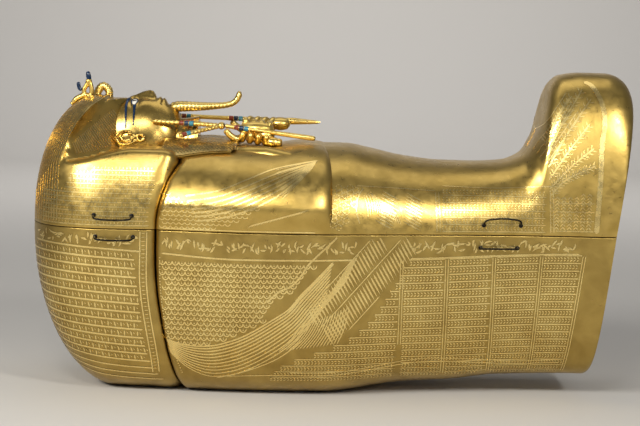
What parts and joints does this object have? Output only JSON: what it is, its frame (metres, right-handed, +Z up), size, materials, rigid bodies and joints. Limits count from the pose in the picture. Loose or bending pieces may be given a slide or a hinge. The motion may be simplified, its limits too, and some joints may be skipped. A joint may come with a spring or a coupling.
{
  "type": "anthropoid coffin",
  "caption": "Gilded royal coffin in human form, lying on its back: a hollow base and lid with a portrait head, folded arms with crook and flail, inlays and lifting handles.",
  "frame": {"origin": "on the ground under the middle of the base, on the flat underside", "axes": "+X from the head to the feet, +Z up through the face, +Y towards the left-hand side of the figure"},
  "size_m": [2.2606, 0.8746, 1.2326],
  "materials": {
    "gilded_base": "gold leaf over gesso on wood, chased all over, satin",
    "gilded_lid": "gold leaf over gesso on wood, burnished and chased",
    "gold_sheet": "sheet gold over carved cores, bright",
    "dark_silver": "tarnished silver rod, nearly black",
    "blue_glass": "opaque dark blue glass, polished",
    "turquoise_glass": "opaque turquoise glass, polished",
    "carnelian_glass": "opaque orange-red glass, polished",
    "eye_stone": "polished pale stone"
  },
  "bodies": {
    "root": {"base": "gilded_base", "lid": "gilded_lid", "right_hand": "gold_sheet", "left_hand": "gold_sheet", "false_beard": "gold_sheet", "cobra": "gold_sheet", "cobra_head": "blue_glass", "cobra_hood_inlay": "blue_glass", "vulture_head": "gold_sheet", "flail_handle": "gold_sheet", "flail_band_1": "turquoise_glass", "flail_band_2": "blue_glass", "flail_band_3": "carnelian_glass", "flail_strands": "gold_sheet", "strand_1_band_1": "carnelian_glass", "strand_1_band_2": "blue_glass", "strand_1_band_3": "turquoise_glass", "strand_2_band_1": "carnelian_glass", "strand_2_band_2": "turquoise_glass", "strand_3_band_1": "carnelian_glass", "strand_3_band_2": "blue_glass", "crook": "gold_sheet", "crook_band_1": "turquoise_glass", "crook_band_2": "blue_glass", "crook_band_3": "carnelian_glass", "crook_band_4": "turquoise_glass", "crook_band_5": "carnelian_glass", "crook_band_6": "blue_glass", "right_brow_inlay": "blue_glass", "right_eye_line_inlay": "blue_glass", "right_eye_inlay": "eye_stone", "handle_lid_head_right": "dark_silver", "handle_lid_foot_right": "dark_silver", "handle_base_head_right": "dark_silver", "handle_base_foot_right": "dark_silver", "left_brow_inlay": "blue_glass", "left_eye_line_inlay": "blue_glass", "left_eye_inlay": "eye_stone", "handle_lid_head_left": "dark_silver", "handle_lid_foot_left": "dark_silver", "handle_base_head_left": "dark_silver", "handle_base_foot_left": "dark_silver"}
  },
  "joints": []
}
